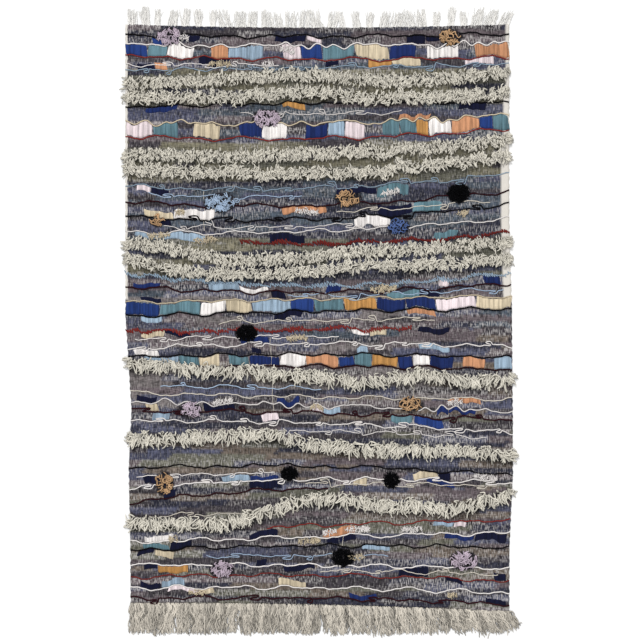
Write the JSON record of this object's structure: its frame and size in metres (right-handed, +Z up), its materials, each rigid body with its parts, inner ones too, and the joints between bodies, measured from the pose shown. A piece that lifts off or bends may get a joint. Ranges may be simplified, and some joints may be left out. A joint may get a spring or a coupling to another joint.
{
  "type": "dhurrie",
  "caption": "Flat-woven wool rug lying flat, with wavy shag rows, hooked tufts, raised outlining yarns, coloured weft blocks and a fringe at each end.",
  "frame": {"origin": "on the floor under the middle of the whole rug's box, fringes and shag ends included", "axes": "+X across the rug to the right, +Y along the rug towards the end with the thin pale fringe, +Z up from the floor"},
  "size_m": [1.6944, 2.6364, 0.0253],
  "materials": {
    "cloth": "flat-woven wool, matt",
    "fringe_top": "loose pale cotton and wool ends, matt",
    "fringe_bottom": "cut wool fringe, matt",
    "shag": "undyed wool loops, matt",
    "lilac": "wool loops, matt",
    "tan": "wool loops, matt",
    "sky": "wool loops, matt",
    "blue": "wool loops, matt",
    "black": "cut wool pompom, matt",
    "navy": "wool weft blocks, matt",
    "teal": "wool weft blocks, matt",
    "pale_blue": "wool weft blocks, matt",
    "ochre": "wool weft blocks, matt",
    "cream": "wool weft blocks, matt",
    "white": "wool weft blocks, matt",
    "rust": "outlining yarn, matt",
    "maroon": "outlining yarn, matt"
  },
  "bodies": {
    "root": {"cloth": "cloth", "fringe_top": "fringe_top", "fringe_bottom": "fringe_bottom", "shag_a1": "shag", "shag_a2": "shag", "shag_b1": "shag", "shag_b2": "shag", "shag_c1": "shag", "shag_c2": "shag", "shag_d": "shag", "shag_e": "shag", "shag_f": "shag", "tuft_01": "lilac", "tuft_02": "tan", "tuft_03": "lilac", "tuft_04": "sky", "tuft_05": "tan", "tuft_06": "black", "tuft_07": "blue", "tuft_08": "tan", "tuft_09": "black", "tuft_10": "tan", "tuft_11": "lilac", "tuft_12": "black", "tuft_13": "tan", "tuft_14": "black", "tuft_15": "black", "tuft_16": "lilac", "tuft_17": "lilac"}
  },
  "joints": []
}
